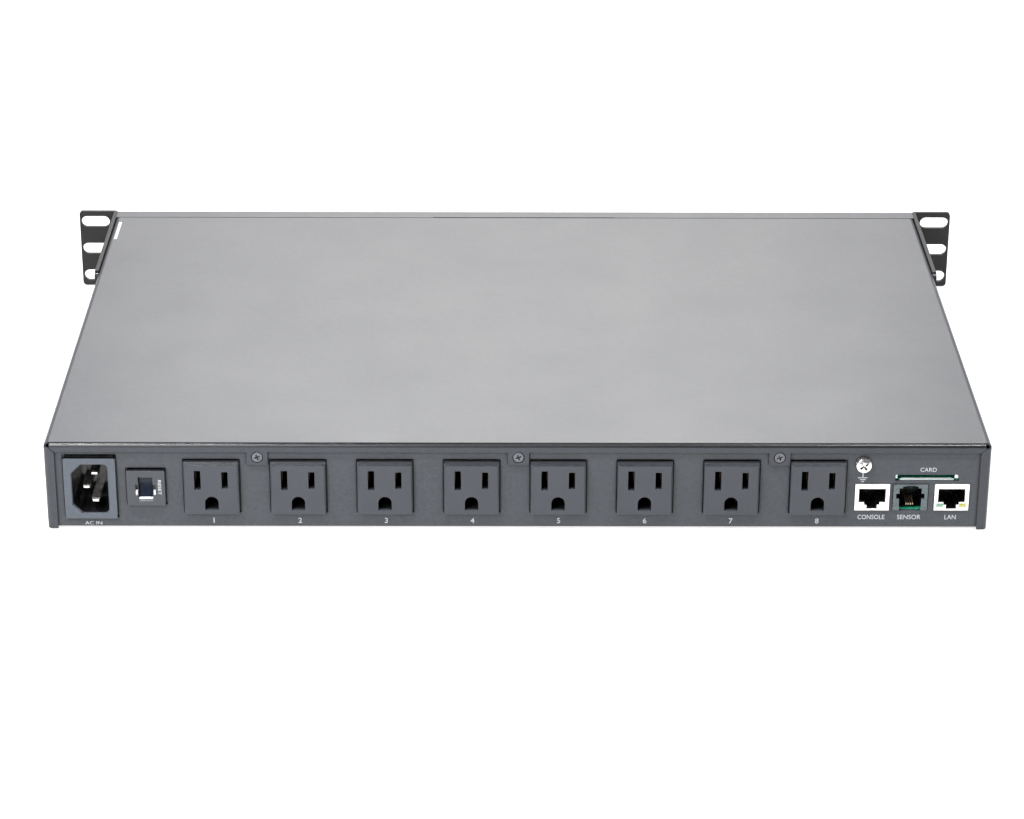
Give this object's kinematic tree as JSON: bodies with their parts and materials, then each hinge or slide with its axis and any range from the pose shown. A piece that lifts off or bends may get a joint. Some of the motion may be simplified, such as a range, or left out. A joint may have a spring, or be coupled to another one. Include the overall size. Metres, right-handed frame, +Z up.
{
  "type": "rack power strip",
  "caption": "Rack-mount power strip with earthed outlets along one side, power inlet, reset breaker, network, console and sensor jacks, a memory card slot and bolt-on slotted rack ears.",
  "frame": {"origin": "middle of the underside of the whole unit's bounding box", "axes": "+X along the outlet row, seen left to right from the outlet side; +Y from the outlet side to the rack ears and front panel; +Z up"},
  "size_m": [0.4826, 0.3102, 0.0437],
  "materials": {
    "powder_coat": "satin black powder coat",
    "bracket_coat": "satin black powder coat",
    "dark_screw": "black oxide",
    "nickel": "bright nickel plate",
    "zinc_steel": "bright zinc plate",
    "spring_steel": "satin",
    "black_nylon": "fine texture",
    "outlet_nylon": "fine texture",
    "button_black": "gloss",
    "plated_brass": "nickel plate",
    "brass": "satin",
    "copper": "tinned copper bar",
    "wire_jacket": "PVC",
    "sensor_case": "epoxy filled case",
    "circuit_board": "green solder mask",
    "relay_blue": "moulded case",
    "transformer_tape": "wound tape and core",
    "capacitor_sleeve": "heat-shrunk sleeve",
    "chip_black": "moulded epoxy",
    "jack_ivory": "moulded nylon",
    "jack_grey": "moulded nylon",
    "gold_contact": "gold flash",
    "lens_green": "translucent lens",
    "lens_amber": "translucent lens",
    "lens_clear": "frosted light pipe",
    "card_insulator": "moulded liquid-crystal polymer",
    "ejector_black": "moulded",
    "smoked_window": "smoked acrylic",
    "display_grey": "filled display block",
    "button_grey": "silicone-feel cap",
    "ribbon_grey": "flat PVC cable"
  },
  "bodies": {
    "chassis": {"top_cover": "powder_coat", "chassis_tray": "powder_coat", "front_panel": "powder_coat", "left_bracket": "bracket_coat", "right_bracket": "bracket_coat", "bracket_screws": "dark_screw", "bracket_clinch_nuts": "zinc_steel", "rear_cover_screws": "dark_screw", "panel_clinch_nuts": "zinc_steel", "inlet_housing": "black_nylon", "inlet_pins": "plated_brass", "breaker_housing": "black_nylon", "breaker_terminals": "plated_brass", "outlet_1": "outlet_nylon", "outlet_2": "outlet_nylon", "outlet_3": "outlet_nylon", "outlet_4": "outlet_nylon", "outlet_5": "outlet_nylon", "outlet_6": "outlet_nylon", "outlet_7": "outlet_nylon", "outlet_8": "outlet_nylon", "outlet_line_contacts": "brass", "outlet_neutral_contacts": "brass", "outlet_earth_contacts": "brass", "outlet_housings": "outlet_nylon", "bus_bars": "copper", "outlet_line_wires": "wire_jacket", "inlet_wires": "wire_jacket", "current_sensor": "sensor_case", "relay_board": "circuit_board", "outlet_relays": "relay_blue", "supply_board": "circuit_board", "supply_transformer": "transformer_tape", "supply_capacitors": "capacitor_sleeve", "network_board": "circuit_board", "network_chips": "chip_black", "console_jack": "jack_ivory", "console_contacts": "gold_contact", "sensor_jack": "jack_grey", "sensor_contacts": "gold_contact", "lan_jack": "jack_ivory", "lan_contacts": "gold_contact", "lan_link_light": "lens_green", "lan_activity_light": "lens_amber", "card_board": "circuit_board", "card_socket_shell": "spring_steel", "card_socket_body": "card_insulator", "card_contacts": "gold_contact", "board_standoffs": "zinc_steel", "board_screws": "zinc_steel", "ground_screw": "nickel", "ground_washer": "nickel", "front_board": "circuit_board", "display_window": "smoked_window", "display_module": "display_grey", "status_light_pipes": "lens_clear", "ribbon_cable": "ribbon_grey"},
    "reset_button": {"breaker_button": "button_black"},
    "front_button": {"select_button": "button_grey"},
    "card_slider": {"card_ejector": "ejector_black"}
  },
  "joints": [
    {"name": "breaker_trip", "type": "slide", "parent": "chassis", "child": "reset_button", "axis": [0, -1, 0], "range_m": [0, 0.003]},
    {"name": "select_press", "type": "slide", "parent": "chassis", "child": "front_button", "axis": [0, -1, 0], "range_m": [0, 0.001], "stiffness_N_per_m": 400, "springref_m": -0.0005},
    {"name": "card_eject", "type": "slide", "parent": "chassis", "child": "card_slider", "axis": [0, 1, 0], "range_m": [0, 0.002], "stiffness_N_per_m": 120, "springref_m": -0.001}
  ]
}
